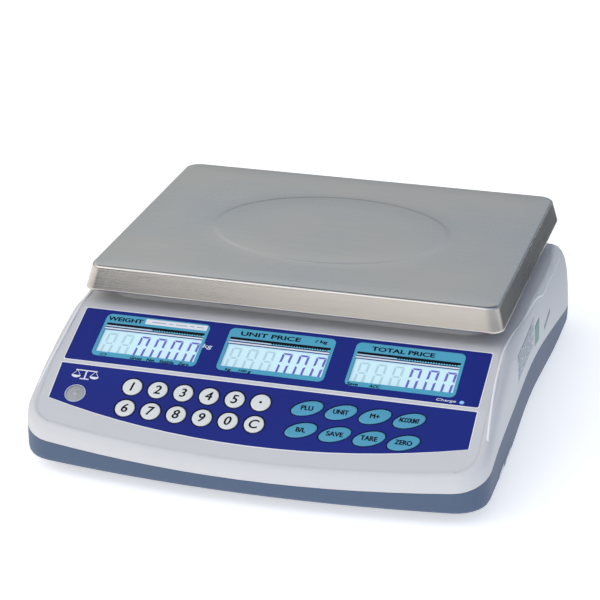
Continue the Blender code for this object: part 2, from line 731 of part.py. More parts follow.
def display_modules():
    for name, x in window_places():
        glass = box_mesh((WINDOW_SIZE[0] + 2.0, WINDOW_SIZE[1] + 2.0, 4.0), (0, 0, -3.0))
        module = finish(name, glass, GLASS, panel(DISPLAY_TILT, x, WINDOW_V), False)
        frame = box_mesh((80.0, 34.0, 3.9), (0, 0, -4.75))
        boolean(module, finish(f"{name}_frame", frame, None, panel(DISPLAY_TILT, x, WINDOW_V)), "UNION")


def boards():
    half = DISPLAY_BOARD_DEPTH + BOARD / 2
    finish("display_board", box_mesh((270.0, 38.0, BOARD)), BOARD_GREEN,
           panel(DISPLAY_TILT, 0.0, WINDOW_V, -half), False)
    half = KEYPAD_BOARD_DEPTH + BOARD / 2
    finish("keypad_board", box_mesh((222.0, 36.0, BOARD)), BOARD_GREEN,
           panel(KEYPAD_TILT, 6.0, sum(KEY_ROWS) / 2, -half), False)
    finish("main_board", box_mesh((*MAIN_BOARD_SIZE, BOARD)), BOARD_GREEN,
           at(*MAIN_BOARD_CENTRE, MAIN_BOARD_Z + BOARD / 2), False)


def keys():
    """Low domed caps with a narrower foot that works the switch on the keypad board."""
    for name, place, (radius, short) in key_places():
        look = KEY_WHITE if radius == short else KEY_TEAL
        profile = ((0, KEY_PROUD), (radius * 0.88, KEY_RIM_PROUD), (radius, -KEY_EDGE_DROP), (radius, -3.0),
                   (radius * 0.5, -3.4), (radius * 0.5, -KEY_FOOT_DEPTH), (0, -KEY_FOOT_DEPTH))
        turned(name, profile, look, place, KEY_SIDES, short / radius)


def level_and_lamp():
    turned("level_vial", ((0, -0.3), (LEVEL_RADIUS, -0.3), (LEVEL_RADIUS, -8.0), (0, -8.0)), VIAL,
           panel(KEYPAD_TILT, LEVEL_X, LEVEL_V), 24)
    turned("charge_lamp", ((0, 0.5), (LAMP_RADIUS * 0.7, 0.3), (LAMP_RADIUS, -0.3), (LAMP_RADIUS, -6.7),
                           (0, -6.7)), LAMP, panel(DISPLAY_TILT, LAMP_X, LAMP_V), 12)


# ---------------------------------------------------------------- underside, back and power
def feet():
    for index, x, y in foot_places():
        radius, height = SOLE
        turned(f"foot_sole_{index}", ((0, height), (radius, height), (radius, 0.8), (radius - 0.8, 0), (0, 0)),
               RUBBER, at(x, y), 20)
        radius, top = KNOB
        low = height + GAP
        turned(f"foot_screw_{index}", ((0, STUD_TOP_Z), (STUD_RADIUS, STUD_TOP_Z), (STUD_RADIUS, top),
                                       (radius - 0.8, top), (radius, top - 0.8), (radius, low), (0, low)),
               BLACK, at(x, y), 20)


def power():
    door_z = FLOOR_Z + 0.2 + DOOR_SIZE[2] / 2
    finish("battery_door", box_mesh(DOOR_SIZE), SLATE, at(*BATTERY_CENTRE, door_z), False)
    battery_z = FLOOR_TOP_Z + 0.6 + BATTERY_SIZE[2] / 2
    bevel(finish("battery", box_mesh(BATTERY_SIZE), BLACK, at(*BATTERY_CENTRE, battery_z), False), 1.0, 1)
    width, length, height = SWITCH_SIZE
    body_z = FLOOR_Z - 1.0 + height / 2
    body = finish("switch_body", box_mesh(SWITCH_SIZE), BLACK, at(*SWITCH_CENTRE, body_z), False)
    slot(body, (width - 4.0, length - 4.0, 12.0), at(*SWITCH_CENTRE, FLOOR_Z))
    rocker = prism_mesh(((-7.4, 1.2), (0.0, -0.4), (7.4, 1.2), (7.4, 3.6), (0.0, 4.6), (-7.4, 3.6)), -4.6, 4.6)
    finish("power_rocker", rocker, BLACK,
           at(*SWITCH_CENTRE, FLOOR_Z - 1.6) @ Matrix.Rotation(math.pi / 2, 4, "Z")
           @ Matrix.Rotation(math.pi / 2, 4, "X"), False)
    flange = -GAP - JACK_FLANGE
    profile = ((0, -GAP), (JACK_FLANGE_RADIUS, -GAP), (JACK_FLANGE_RADIUS, flange), (JACK_RADIUS, flange),
               (JACK_RADIUS, -JACK_LENGTH), (0, -JACK_LENGTH))
    jack = turned("power_jack", profile, BLACK, jack_place(), 20)
    drill(jack, JACK_SOCKET_RADIUS, -9.5, 3.0, jack_place(), 16)
    boolean(jack, finish("jack_pin", cylinder_mesh(1.0, -10.0, -1.0, 10), None, jack_place()), "UNION")


top_housing()
bottom_housing()
platter()
load_path()
overlays()
display_modules()
boards()
keys()
level_and_lamp()
feet()
power()
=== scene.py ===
"""The looks of the bench scale: finishes, printed panels, key caps, displays, steel platter, studio.

Printed and moulded detail is drawn in millimetres and scaled by MM; the studio's places are in metres.
"""
import json
import math

import bmesh
import bpy
import numpy
from mathutils import Matrix, Vector
from mathutils.geometry import convex_hull_2d

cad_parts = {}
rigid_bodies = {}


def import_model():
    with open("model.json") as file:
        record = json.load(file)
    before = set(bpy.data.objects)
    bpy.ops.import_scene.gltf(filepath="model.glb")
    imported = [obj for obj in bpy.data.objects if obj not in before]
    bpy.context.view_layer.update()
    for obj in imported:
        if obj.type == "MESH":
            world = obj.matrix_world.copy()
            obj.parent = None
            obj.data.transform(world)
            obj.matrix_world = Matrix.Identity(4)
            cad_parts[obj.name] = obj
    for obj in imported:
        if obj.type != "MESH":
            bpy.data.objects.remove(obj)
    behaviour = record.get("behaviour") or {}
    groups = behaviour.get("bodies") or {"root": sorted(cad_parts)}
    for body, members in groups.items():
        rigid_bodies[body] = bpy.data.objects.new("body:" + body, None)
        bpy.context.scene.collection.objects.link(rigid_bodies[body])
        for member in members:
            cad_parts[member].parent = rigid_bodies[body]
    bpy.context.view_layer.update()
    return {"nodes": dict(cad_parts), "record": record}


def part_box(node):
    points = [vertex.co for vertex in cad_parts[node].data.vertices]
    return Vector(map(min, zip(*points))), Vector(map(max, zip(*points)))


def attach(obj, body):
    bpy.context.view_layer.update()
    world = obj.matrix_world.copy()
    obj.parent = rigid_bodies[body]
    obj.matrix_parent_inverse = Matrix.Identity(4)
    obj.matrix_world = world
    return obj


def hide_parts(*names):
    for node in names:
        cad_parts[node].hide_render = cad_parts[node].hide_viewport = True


for leftover in list(bpy.data.objects):
    bpy.data.objects.remove(leftover, do_unlink=True)
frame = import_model()
MM = 0.001

# ---- panel print, in millimetres across (x) and up the slope (v) from the crease between the overlays ----
OVERLAY_MARGIN = 1.9
PRINT_THICKNESS = 0.04
FIRST_PRINT, SECOND_PRINT, THIRD_PRINT = 0.05, 0.12, 0.17
# the pale band round each overlay is a painted highlight on the housing's lip: how far in and out it reaches
RIM_HIGHLIGHT_INNER, RIM_HIGHLIGHT_OUTER = 0.12, 0.75

# ---- display windows: the teal frame, the seven-segment figures, the rules above the glass and a painted shadow of the bezel ----
DISPLAYS = ("weight_display", "unit_price_display", "total_price_display")
WINDOW = (70.0, 21.4)
FRAME_HALF_WIDTH = 37.1
FRAME_BELOW = 14.8
FRAME_ABOVE = 25.1
FRAME_CORNER = 4.0
DIGITS = 6
DIGIT_PITCH = 11.7
DIGIT_WIDTH = 7.1
DIGIT_BOTTOM = -11.4
DIGIT_TOP = 8.2
DIGIT_LEFT = -32.3
DIGIT_SLANT = 0.06
STROKE = 1.6
SEGMENT_GAP = 0.25
LIT_DIGITS = {"weight_display": 4, "unit_price_display": 3, "total_price_display": 3}
# the black bar is a painted shadow of the display's bezel over the top of the glass
WHITE_LINE, NAVY_LINE, PALE_BAND, BEZEL_SHADOW = (0.15, 1.4), (1.5, 2.4), (2.5, 3.9), (3.6, 5.8)
TEETH_START = {"weight_display": -2.0, "unit_price_display": -6.0, "total_price_display": -8.0}
# the painted bezel shadow ends in black teeth, with the cyan band showing between them
TOOTH_PITCH, TOOTH_ROOT, TOOTH_TIP = 1.8, 3.65, 2.6

# ---- words: text, x, v, height where it varies, and width, all generic ----
FONT_SIZE = 10.0
TITLES = (("WEIGHT", -111.5, 43.4, 3.7, 25.0), ("UNIT PRICE", -8.0, 43.4, 3.7, 42.0),
          ("/ kg", 27.2, 43.6, 3.4, 8.5), ("TOTAL PRICE", 83.6, 43.2, 3.7, 43.0))
TITLE_BOLD, TITLE_INSET = 0.25, 0.5
FLAGS = (("Gross", -93.2, 9.3, 8.2), ("Net", -82.8, 9.3, 5.6), ("Stable", -71.5, 9.2, 10.2),
         ("Zero", -59.6, 9.1, 7.2), ("kg", -28.4, 9.0, 4.0), ("100 g", -16.8, 9.1, 8.6),
         ("Save", 56.9, 9.5, 7.4), ("ACC", 71.8, 9.5, 7.2))
FLAG_HEIGHT, FLAG_BOLD, FLAG_SLANT = 2.5, 0.16, 0.15
LABEL_STRIP = (-97.2, -53.2, 41.7, 46.6)
STRIP_RULE_START, STRIP_RULE_HEIGHTS = -92.5, (43.9, 44.35)
STRIP_RULES = ((0, 10), (12, 3), (17, 8), (27, 3), (32, 5))
PICTOGRAM_PLACE = (-123.0, -9.4)
NUMBER_LEGENDS = {f"key_{digit}": str(digit) for digit in range(10)}
NUMBER_LEGENDS["key_clear"] = "C"
NUMBER_HEIGHT, NUMBER_BOLD, NUMBER_SLANT = 6.7, 0.22, 0.15
FUNCTION_HEIGHT, FUNCTION_BOLD, FUNCTION_INSET = 3.5, 0.22, 0.4
FUNCTION_LEGENDS = {"key_recall": ("PLU", 8.2), "key_unit": ("UNIT", 10.4), "key_add": ("M+", 6.4),
                    "key_account": ("ACCOUNT", 13.6), "key_light": ("B/L", 6.6), "key_save": ("SAVE", 11.4),
                    "key_tare": ("TARE", 11.2), "key_zero": ("ZERO", 11.4)}

# ---- key caps: shares of the radius, and heights in millimetres ----
FUNCTION_SLANT = math.radians(21.0)
KEY_RIM = 0.88
KEY_RIM_DROP = 0.15
KEY_EDGE = -0.25
CAP_SHARES = (0.0, 0.2, 0.4, 0.6, 0.75)
CAP_RIM_STEPS = 8
NUMBER_RING, FUNCTION_RING = (0.35, 0.65), (0.3, 0.5)
LEGEND_LIFT = 0.03
LEGEND_CELL = 0.8

# ---- platter tray ----
OVAL_RADII = (85.0, 64.0)
OVAL_RISE = 0.5
TRAY_TAPER = 3.6
TRAY_ROLL = 2.2
TRAY_CORNER = 10.0
TRAY_POINT_SPACING = 6.0
TRAY_SHEET = 1.0

# ---- right flank: film corners are (y, z), and the bead runs from the front corner to the rear one ----
FILM_THICKNESS = 0.05
DATA_LABEL = ((-53.0, 52.0), (14.0, 50.0), (14.0, 73.5), (-53.0, 71.0))
SQUARE_LABEL = ((18.4, 48.6), (34.0, 47.2), (33.0, 65.2), (16.8, 64.4))
SEAL_LABEL = ((54.5, 45.6), (74.6, 51.0), (73.4, 55.2), (53.4, 49.8))
EDGE_LABELS = ((-116.0, -101.0), (-96.0, -77.0))
LABEL_ROWS, FIRST_ROW, ROW_PITCH, ROW_HEIGHT = 8, 53.6, 2.35, 1.15
LABEL_DASHES = (((-50.0, -31.0), (-29.0, -12.0), (-10.0, 9.0)), ((-50.0, -38.0), (-35.0, -8.0), (-5.0, 4.0)),
                ((-49.0, -24.0), (-21.0, 10.0)))
BEAD_RADIUS = 0.8
BEAD_PATH = ((153.0, -138.0, 50.7), (151.4, -124.0, 58.9), (149.4, -102.5, 68.6), (148.6, -82.5, 76.6),
             (148.3, -65.5, 81.5), (148.6, -42.0, 81.7), (150.8, -26.5, 81.2), (151.9, -12.0, 81.2),
             (152.3, 16.0, 80.6), (152.9, 31.5, 79.8), (153.8, 39.5, 78.2), (154.4, 47.5, 75.2),
             (154.4, 57.5, 75.3), (154.4, 73.5, 76.0), (154.3, 97.0, 75.0), (153.1, 127.5, 72.0))

# ---- studio ----
LENS = 129.94
SENSOR_WIDTH = 36.0
CAMERA_PLACE = (0.37449, -1.35331, 0.6713)
CAMERA_YAW = math.radians(15.71)
CAMERA_PITCH = math.radians(66.94)
CAMERA_SHIFT = -0.0085
SKY_STRENGTH = 0.78
# Each stop is the height of the direction (Z of its unit vector) and the colour there.
SKY = {"front": ((-0.2, (0.70, 0.64, 0.58)), (1.0, (0.5, 0.5, 0.5)), (0.15, (0.80, 0.73, 0.65)),
                 (0.28, (0.98, 0.93, 0.88)), (0.42, (2.7, 2.64, 2.6)), (0.9, (2.3, 2.27, 2.25))),
       "back": ((-0.2, (0.30, 0.31, 0.31)), (1.0, (0.30, 0.30, 0.30)), (0.1, (0.36, 0.37, 0.37)),
                (0.32, (0.84, 0.86, 0.85)), (0.42, (0.92, 0.93, 0.91)), (0.5, (1.35, 1.35, 1.33)),
                (0.62, (1.35, 1.35, 1.33)), (0.7, (0.3, 0.3, 0.3)), (0.8, (0.12, 0.12, 0.12)))}
SKY_LOWEST = -0.2
RIGHT_TINT = (0.36, 0.44, 0.58)
FLOOR_GLOW = 0.5


# ---------------------------------------------------------------- materials
def procedural(name, colour, roughness, metallic=0.0, shade=0.06, spread=0.06, grain=900.0, bump=0.05,
               stretch=(1.0, 1.0, 1.0), blotch=14.0, dark=None, share=0.5, **sockets):
    """A finish with fine grain, broad soft variation of colour, and roughness that follows both.

    Dark is the colour of the darker patches, if it isn't the same hue; share is how much of the
    variation is broad rather than fine. Other arguments set the shader's sockets of those names.
    """
    made = bpy.data.materials.new(name)
    made.use_nodes = True
    nodes, links = made.node_tree.nodes, made.node_tree.links
    shader = nodes["Principled BSDF"]
    place = nodes.new("ShaderNodeTexCoord")
    mapping = nodes.new("ShaderNodeMapping")
    mapping.inputs["Scale"].default_value = stretch
    links.new(place.outputs["Object"], mapping.inputs["Vector"])
    fine = nodes.new("ShaderNodeTexNoise")
    fine.inputs["Scale"].default_value = grain
    fine.inputs["Detail"].default_value = 3.0
    links.new(mapping.outputs["Vector"], fine.inputs["Vector"])
    broad = nodes.new("ShaderNodeTexNoise")
    broad.inputs["Scale"].default_value = blotch
    broad.inputs["Detail"].default_value = 2.0
    links.new(place.outputs["Object"], broad.inputs["Vector"])
    both = nodes.new("ShaderNodeMix")
    both.data_type = "FLOAT"
    both.inputs["Factor"].default_value = share
    links.new(fine.outputs["Fac"], both.inputs["A"])
    links.new(broad.outputs["Fac"], both.inputs["B"])
    tint = nodes.new("ShaderNodeValToRGB")
    tint.color_ramp.elements[0].position = 0.3
    tint.color_ramp.elements[1].position = 0.7
    tint.color_ramp.elements[0].color = (*(value * (1 - shade) for value in dark or colour), 1.0)
    tint.color_ramp.elements[1].color = (*(min(value * (1 + shade), 1.0) for value in colour), 1.0)
    links.new(both.outputs["Result"], tint.inputs["Fac"])
    links.new(tint.outputs["Color"], shader.inputs["Base Color"])
    gloss = nodes.new("ShaderNodeMapRange")
    gloss.inputs["From Min"].default_value = 0.3
    gloss.inputs["From Max"].default_value = 0.7
    gloss.inputs["To Min"].default_value = max(roughness - spread, 0.02)
    gloss.inputs["To Max"].default_value = min(roughness + spread, 1.0)
    links.new(both.outputs["Result"], gloss.inputs["Value"])
    links.new(gloss.outputs["Result"], shader.inputs["Roughness"])
    relief = nodes.new("ShaderNodeBump")
    relief.inputs["Strength"].default_value = bump
    relief.inputs["Distance"].default_value = 0.0002
    links.new(fine.outputs["Fac"], relief.inputs["Height"])
    links.new(relief.outputs["Normal"], shader.inputs["Normal"])
    shader.inputs["Metallic"].default_value = metallic
    for socket, value in sockets.items():
        shader.inputs[socket.replace("_", " ")].default_value = value
    return made


MATERIALS = {
    "light_housing": procedural("light_housing", (0.60, 0.598, 0.608), 0.45, shade=0.02, grain=1400,
                                bump=0.10),
    "slate_housing": procedural("slate_housing", (0.066, 0.103, 0.176), 0.5, shade=0.06, grain=1400,
                                bump=0.14),
    "platter_steel": procedural("platter_steel", (0.63, 0.595, 0.55), 0.3, 1.0, shade=0.05, spread=0.06,
                                grain=16, stretch=(1.0, 60.0, 60.0), bump=0.10, blotch=9.0,
                                dark=(0.53, 0.565, 0.59), share=0.62),
    # the tray's walls: their grain is their own, and their warmer, lighter colour than the top is a painted
    # reflection of the warm light in front
    "platter_wall": procedural("platter_wall", (0.66, 0.61, 0.55), 0.3, 1.0, shade=0.05, spread=0.05,
                               grain=22, stretch=(1.0, 1.0, 90.0), bump=0.10, blotch=5.0),
    "cast_aluminium": procedural("cast_aluminium", (0.55, 0.56, 0.57), 0.45, 1.0, grain=700, bump=0.4),
    "overlay_blue": procedural("overlay_blue", (0.010, 0.021, 0.205), 0.42, shade=0.12, grain=1800, bump=0.05,
                               Specular_IOR_Level=0.22),
    "print_teal": procedural("print_teal", (0.085, 0.38, 0.54), 0.4, shade=0.05, grain=1800,
                             Specular_IOR_Level=0.22),
    # black print, also used for the painted shadow of the bezel above each window
    "print_and_shadow_black": procedural("print_and_shadow_black", (0.004, 0.005, 0.012), 0.45, shade=0.3, grain=1800,
                              Specular_IOR_Level=0.15),
    "print_white": procedural("print_white", (0.80, 0.82, 0.86), 0.4, shade=0.03, grain=1800),
    "print_pale": procedural("print_pale", (0.52, 0.70, 0.82), 0.4, shade=0.04, grain=1800),
    "print_cyan": procedural("print_cyan", (0.18, 0.66, 0.78), 0.4, shade=0.05, grain=1800),
    "lcd_line": procedural("lcd_line", (0.012, 0.025, 0.13), 0.4, shade=0.1, grain=1800,
                           Specular_IOR_Level=0.2),
    "lcd_ghost": procedural("lcd_ghost", (0.46, 0.66, 0.74), 0.3, shade=0.04, grain=1800,
                           Emission_Strength=0.06, Emission_Color=(0.72, 0.95, 1.0, 1.0)),
    "lcd_lit": procedural("lcd_lit", (0.17, 0.15, 0.60), 0.3, shade=0.10, grain=900),
    "key_grey": procedural("key_grey", (0.72, 0.74, 0.72), 0.42, shade=0.03, grain=1600, bump=0.08),
    "key_teal": procedural("key_teal", (0.075, 0.33, 0.49), 0.42, shade=0.05, grain=1600, bump=0.08),
    "level_glass": procedural("level_glass", (0.37, 0.385, 0.39), 0.25, shade=0.05, grain=300, bump=0.02,
                              blotch=160.0),
    "level_bubble": procedural("level_bubble", (0.39, 0.405, 0.42), 0.2, shade=0.03, grain=300, bump=0.02),
    "level_rim": procedural("level_rim", (0.50, 0.55, 0.70), 0.3, shade=0.04, grain=900),
    "level_mark": procedural("level_mark", (0.34, 0.355, 0.365), 0.3, shade=0.04, grain=900),
    "lamp_lens": procedural("lamp_lens", (0.20, 0.45, 0.95), 0.2, shade=0.05, grain=500,
                            Emission_Strength=0.25, Emission_Color=(0.35, 0.6, 1.0, 1.0)),
    "black_plastic": procedural("black_plastic", (0.02, 0.02, 0.022), 0.42, shade=0.2, grain=1300, bump=0.2),
    "rubber": procedural("rubber", (0.03, 0.03, 0.033), 0.8, shade=0.2, grain=1000, bump=0.3),
    "bolt_steel": procedural("bolt_steel", (0.5, 0.5, 0.48), 0.35, 1.0, grain=800, bump=0.1),
    "circuit_board": procedural("circuit_board", (0.015, 0.15, 0.06), 0.4, shade=0.15, grain=700, bump=0.1),
    # a pale finish for painted highlights: the lit lip round each overlay and the lit ridge of each flank
    # bead
    "painted_edge_highlight": procedural("painted_edge_highlight", (0.84, 0.845, 0.86), 0.4, shade=0.02, grain=1400),
    "label_film": procedural("label_film", (0.50, 0.53, 0.56), 0.35, shade=0.03, grain=1500),
    "label_green": procedural("label_green", (0.12, 0.27, 0.23), 0.4, shade=0.1, grain=1500),
    "label_rule": procedural("label_rule", (0.20, 0.235, 0.28), 0.4, shade=0.1, grain=1500),
}


def lcd_material():
    """Back-lit liquid crystal: pale blue, softly uneven, with a little light of its own."""
    made = procedural("lcd_glass", (0.57, 0.80, 0.86), 0.22, shade=0.06, grain=1200, bump=0.02, blotch=22.0)
    shader = made.node_tree.nodes["Principled BSDF"]
    shader.inputs["Emission Color"].default_value = (0.72, 0.95, 1.0, 1.0)
    shader.inputs["Emission Strength"].default_value = 0.17
    return made


MATERIALS["lcd_glass"] = lcd_material()


# ---------------------------------------------------------------- making pieces
def body_of(node):
    return next(body for body, nodes in frame["record"]["behaviour"]["bodies"].items() if node in nodes)


def piece(name, mesh, finish, body, smooth=True, sharp=32.0):
    """Link a mesh that is already in its place, give it its finish, and let it ride on a body."""
    made = bpy.data.objects.new(name, mesh)
    bpy.context.scene.collection.objects.link(made)
    mesh.materials.clear()
    mesh.materials.append(MATERIALS[finish])
    if smooth:
        mesh.shade_smooth()
        mesh.set_sharp_from_angle(angle=math.radians(sharp))
    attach(made, body)
    return made


def to_mesh(name, bm, place=Matrix.Identity(4), unit=MM):
    """A mesh from a bmesh drawn in millimetres, or in another unit, and moved to its place."""
    bmesh.ops.recalc_face_normals(bm, faces=bm.faces)
    bmesh.ops.scale(bm, vec=(unit, unit, unit), verts=bm.verts)
    bmesh.ops.transform(bm, matrix=place, verts=bm.verts)
    mesh = bpy.data.meshes.new(name)
    bm.to_mesh(mesh)
    bm.free()
    return mesh


def apply_modifiers(made):
    """Bake a piece's modifiers into its mesh."""
    depsgraph = bpy.context.evaluated_depsgraph_get()
    mesh = bpy.data.meshes.new_from_object(made.evaluated_get(depsgraph))
    made.modifiers.clear()
    made.data = mesh


def refined(node, finish, bevel=0.0, angle=35.0):
    """The CAD shape with joined corners, smooth shading and, where asked, small rounded edges."""
    bm = bmesh.new()
    bm.from_mesh(frame["nodes"][node].data)
    bmesh.ops.remove_doubles(bm, verts=bm.verts, dist=2e-6)
    bmesh.ops.dissolve_limit(bm, angle_limit=math.radians(0.6), verts=bm.verts, edges=bm.edges)
    mesh = to_mesh(f"{node}_finished", bm, unit=1.0)
    made = piece(f"{node}_finished", mesh, finish, body_of(node), sharp=angle)
    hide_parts(node)
    if bevel:
        rounding = made.modifiers.new("edges", "BEVEL")
        rounding.width = bevel * MM
        rounding.segments = 3
        rounding.limit_method = "ANGLE"
        rounding.angle_limit = math.radians(angle)
        rounding.harden_normals = True
        apply_modifiers(made)
    weighted = made.modifiers.new("normals", "WEIGHTED_NORMAL")
    weighted.keep_sharp = True
    apply_modifiers(made)
    return made


def revolved(name, profile, place, finish, body, segments=64, squash=1.0):
    """A solid turned about its place's Z from (radius, height) points in millimetres."""
    bm = bmesh.new()
    corners = [bm.verts.new((radius, 0.0, height)) for radius, height in profile]
    for first, second in zip(corners, corners[1:]):
        bm.edges.new((first, second))
    bmesh.ops.spin(bm, geom=bm.verts[:] + bm.edges[:], axis=(0, 0, 1), cent=(0, 0, 0),
                   angle=math.tau, steps=segments, use_merge=True)
    bmesh.ops.remove_doubles(bm, verts=bm.verts, dist=0.0005)
    bmesh.ops.scale(bm, vec=(1.0, squash, 1.0), verts=bm.verts)
    return piece(name, to_mesh(name, bm, place), finish, body)


def rounded_rectangle(x_low, x_high, y_low, y_high, radius, steps=6):
    """Corner arcs of an outline, from the upper right one round to the lower right one."""
    points = []
    arcs = ((x_high, y_high, 0), (x_low, y_high, 90), (x_low, y_low, 180), (x_high, y_low, 270))
    for x, y, start in arcs:
        centre_x = x - math.copysign(radius, x - (x_low + x_high) / 2)
        centre_y = y - math.copysign(radius, y - (y_low + y_high) / 2)
        for step in range(steps + 1):
            angle = math.radians(start + 90 * step / steps)
            points.append((centre_x + radius * math.cos(angle), centre_y + radius * math.sin(angle)))
    return points


def oval(radius_x, radius_y, steps=64):
    return [(radius_x * math.cos(math.tau * step / steps), radius_y * math.sin(math.tau * step / steps))
            for step in range(steps)]


def box(x_low, x_high, y_low, y_high):
    return [(x_low, y_low), (x_high, y_low), (x_high, y_high), (x_low, y_high)]


def stencil(name, loops, thickness=PRINT_THICKNESS):
    """A flat shape from closed outlines, inner ones cut out of outer ones, as a mesh in millimetres."""
    curve = bpy.data.curves.new(name, "CURVE")
    curve.dimensions = "2D"
    curve.fill_mode = "BOTH"
    curve.extrude = thickness / 2
    for loop in loops:
        spline = curve.splines.new("POLY")
        spline.points.add(len(loop) - 1)
        for point, (x, y) in zip(spline.points, loop):
            point.co = (x, y, 0.0, 1.0)
        spline.use_cyclic_u = True
    return evaluated(name, curve)


def lettering(name, words, height, width=None, slant=0.0, bold=0.0):
    """Plain generic words as a mesh in millimetres, as high and as wide as asked, about their middle.

    Bold words are the same word five times, each copy a little to one side and a hair higher.
    """
    curve = bpy.data.curves.new(name, "FONT")
    curve.body = words
    curve.size = FONT_SIZE
    curve.shear = slant
    curve.resolution_u = 5
    curve.extrude = PRINT_THICKNESS / 2
    mesh = evaluated(name, curve)
    places = numpy.array([vertex.co for vertex in mesh.vertices])
    low, high = places.min(0), places.max(0)
    grow_y = height / (high[1] - low[1])
    grow_x = width / (high[0] - low[0]) if width else grow_y
    middle = Matrix.Translation((-(low[0] + high[0]) / 2, -(low[1] + high[1]) / 2, 0.0))
    mesh.transform(Matrix.Diagonal((grow_x, grow_y, 1.0, 1.0)) @ middle)
    if bold:
        bm = bmesh.new()
        for layer, (right, up) in enumerate(((0, 0), (-1, 0), (1, 0), (0, -0.6), (0, 0.6))):
            shifted = mesh.copy()
            shifted.transform(Matrix.Translation((right * bold, up * bold, layer * 0.004)))
            bm.from_mesh(shifted)
            bpy.data.meshes.remove(shifted)
        bm.to_mesh(mesh)
        bm.free()
    return mesh


def evaluated(name, curve):
    """The mesh of a curve or text, with its doubled points joined; the curve itself is removed."""
    guide = bpy.data.objects.new(name, curve)
    bpy.context.scene.collection.objects.link(guide)
    bpy.context.view_layer.update()
    mesh = bpy.data.meshes.new_from_object(guide.evaluated_get(bpy.context.evaluated_depsgraph_get()))
    bpy.data.objects.remove(guide, do_unlink=True)
    bpy.data.curves.remove(curve)
    bm = bmesh.new()
    bm.from_mesh(mesh)
    bmesh.ops.remove_doubles(bm, verts=bm.verts, dist=1e-5)
    bm.to_mesh(mesh)
    bm.free()
    mesh.name = name
    return mesh


def printed(name, mesh, place, finish, body="base"):
    """Lay a flat mesh drawn in millimetres on a place, as a piece with flat faces."""
    mesh.transform(place @ Matrix.Diagonal((MM, MM, MM, 1.0)))
    return piece(name, mesh, finish, body, smooth=False)


# ---------------------------------------------------------------- panels
class Panel:
    """The upper face of an overlay: X across, Y up the slope, Z out; the origin is on the crease line."""

    def __init__(self, node, crease_end):
        mesh = frame["nodes"][node].data
        top = max((face for face in mesh.polygons if face.normal.z > 0.5), key=lambda face: face.area)
        self.normal = top.normal.copy()
        self.up = self.normal.cross(Vector((1, 0, 0)))
        start = mesh.vertices[top.vertices[0]].co.copy()
        start.x = 0.0
        heights = [(vertex.co - start).dot(self.up) for vertex in mesh.vertices
                   if abs((vertex.co - start).dot(self.normal)) < 0.1 * MM]
        margin = OVERLAY_MARGIN * MM
        edge = min(heights) - margin if crease_end == "bottom" else max(heights) + margin
        self.origin = start + edge * self.up

    def place(self, x=0.0, v=0.0, out=PRINT_THICKNESS / 2 + 0.02):
        """The matrix of a point on the panel, a little out from its face."""
        turn = Matrix((Vector((1, 0, 0)), self.up, self.normal)).transposed().to_4x4()
        return Matrix.Translation(self.origin) @ turn @ Matrix.Translation(Vector((x, v, out)) * MM)

    def span(self, node, x=0.0, v=0.0, turn=0.0):
        """Lowest and highest (x, v, out) of a node, in millimetres from a point on this panel."""
        into = (self.place(x, v, 0.0) @ Matrix.Rotation(turn, 4, "Z")).inverted()
        places = numpy.array([into @ vertex.co for vertex in frame["nodes"][node].data.vertices]) / MM
        return places.min(0), places.max(0)

    def flat(self, node):
        """A node's points as (x, v, out) in millimetres."""
        into = self.place(out=0.0).inverted()
        return [tuple((into @ vertex.co) / MM) for vertex in frame["nodes"][node].data.vertices]

    def centre(self, node):
        low, high = self.span(node)
        return (low[0] + high[0]) / 2, (low[1] + high[1]) / 2


DISPLAY = Panel("display_overlay", "bottom")
KEYPAD = Panel("keypad_overlay", "top")


def segment_digit(x, lit):
    """The strokes of one seven-segment figure: a nought when lit, a faint eight when not."""
    half, gap = STROKE / 2, SEGMENT_GAP
    left, right = x, x + DIGIT_WIDTH
    middle = (DIGIT_TOP + DIGIT_BOTTOM) / 2
    strokes = [upright(left, middle, DIGIT_TOP, gap, 1), upright(right, middle, DIGIT_TOP, gap, -1),
               upright(left, DIGIT_BOTTOM, middle, gap, 1), upright(right, DIGIT_BOTTOM, middle, gap, -1)]
    for level, way in ((DIGIT_TOP, -1), (DIGIT_BOTTOM, 1)):
        inner = level + way * STROKE
        strokes.append([(left + gap, level), (right - gap, level),
                        (right - STROKE - gap, inner), (left + STROKE + gap, inner)])
    if not lit:
        strokes.append([(left + half + gap, middle), (left + STROKE, middle + half * 0.9),
                        (right - STROKE, middle + half * 0.9), (right - half - gap, middle),
                        (right - STROKE, middle - half * 0.9), (left + STROKE, middle - half * 0.9)])
    return [[(px + DIGIT_SLANT * (py - DIGIT_BOTTOM), py) for px, py in stroke] for stroke in strokes]


def upright(x, low, high, gap, way):
    """A side stroke with mitred ends; way is 1 where its outer face is on the left."""
    inner = x + way * STROKE
    return [(x, low + gap + STROKE * 0.3), (x, high - gap - STROKE * 0.3), (inner, high - gap - STROKE),
            (inner, low + gap + STROKE)]


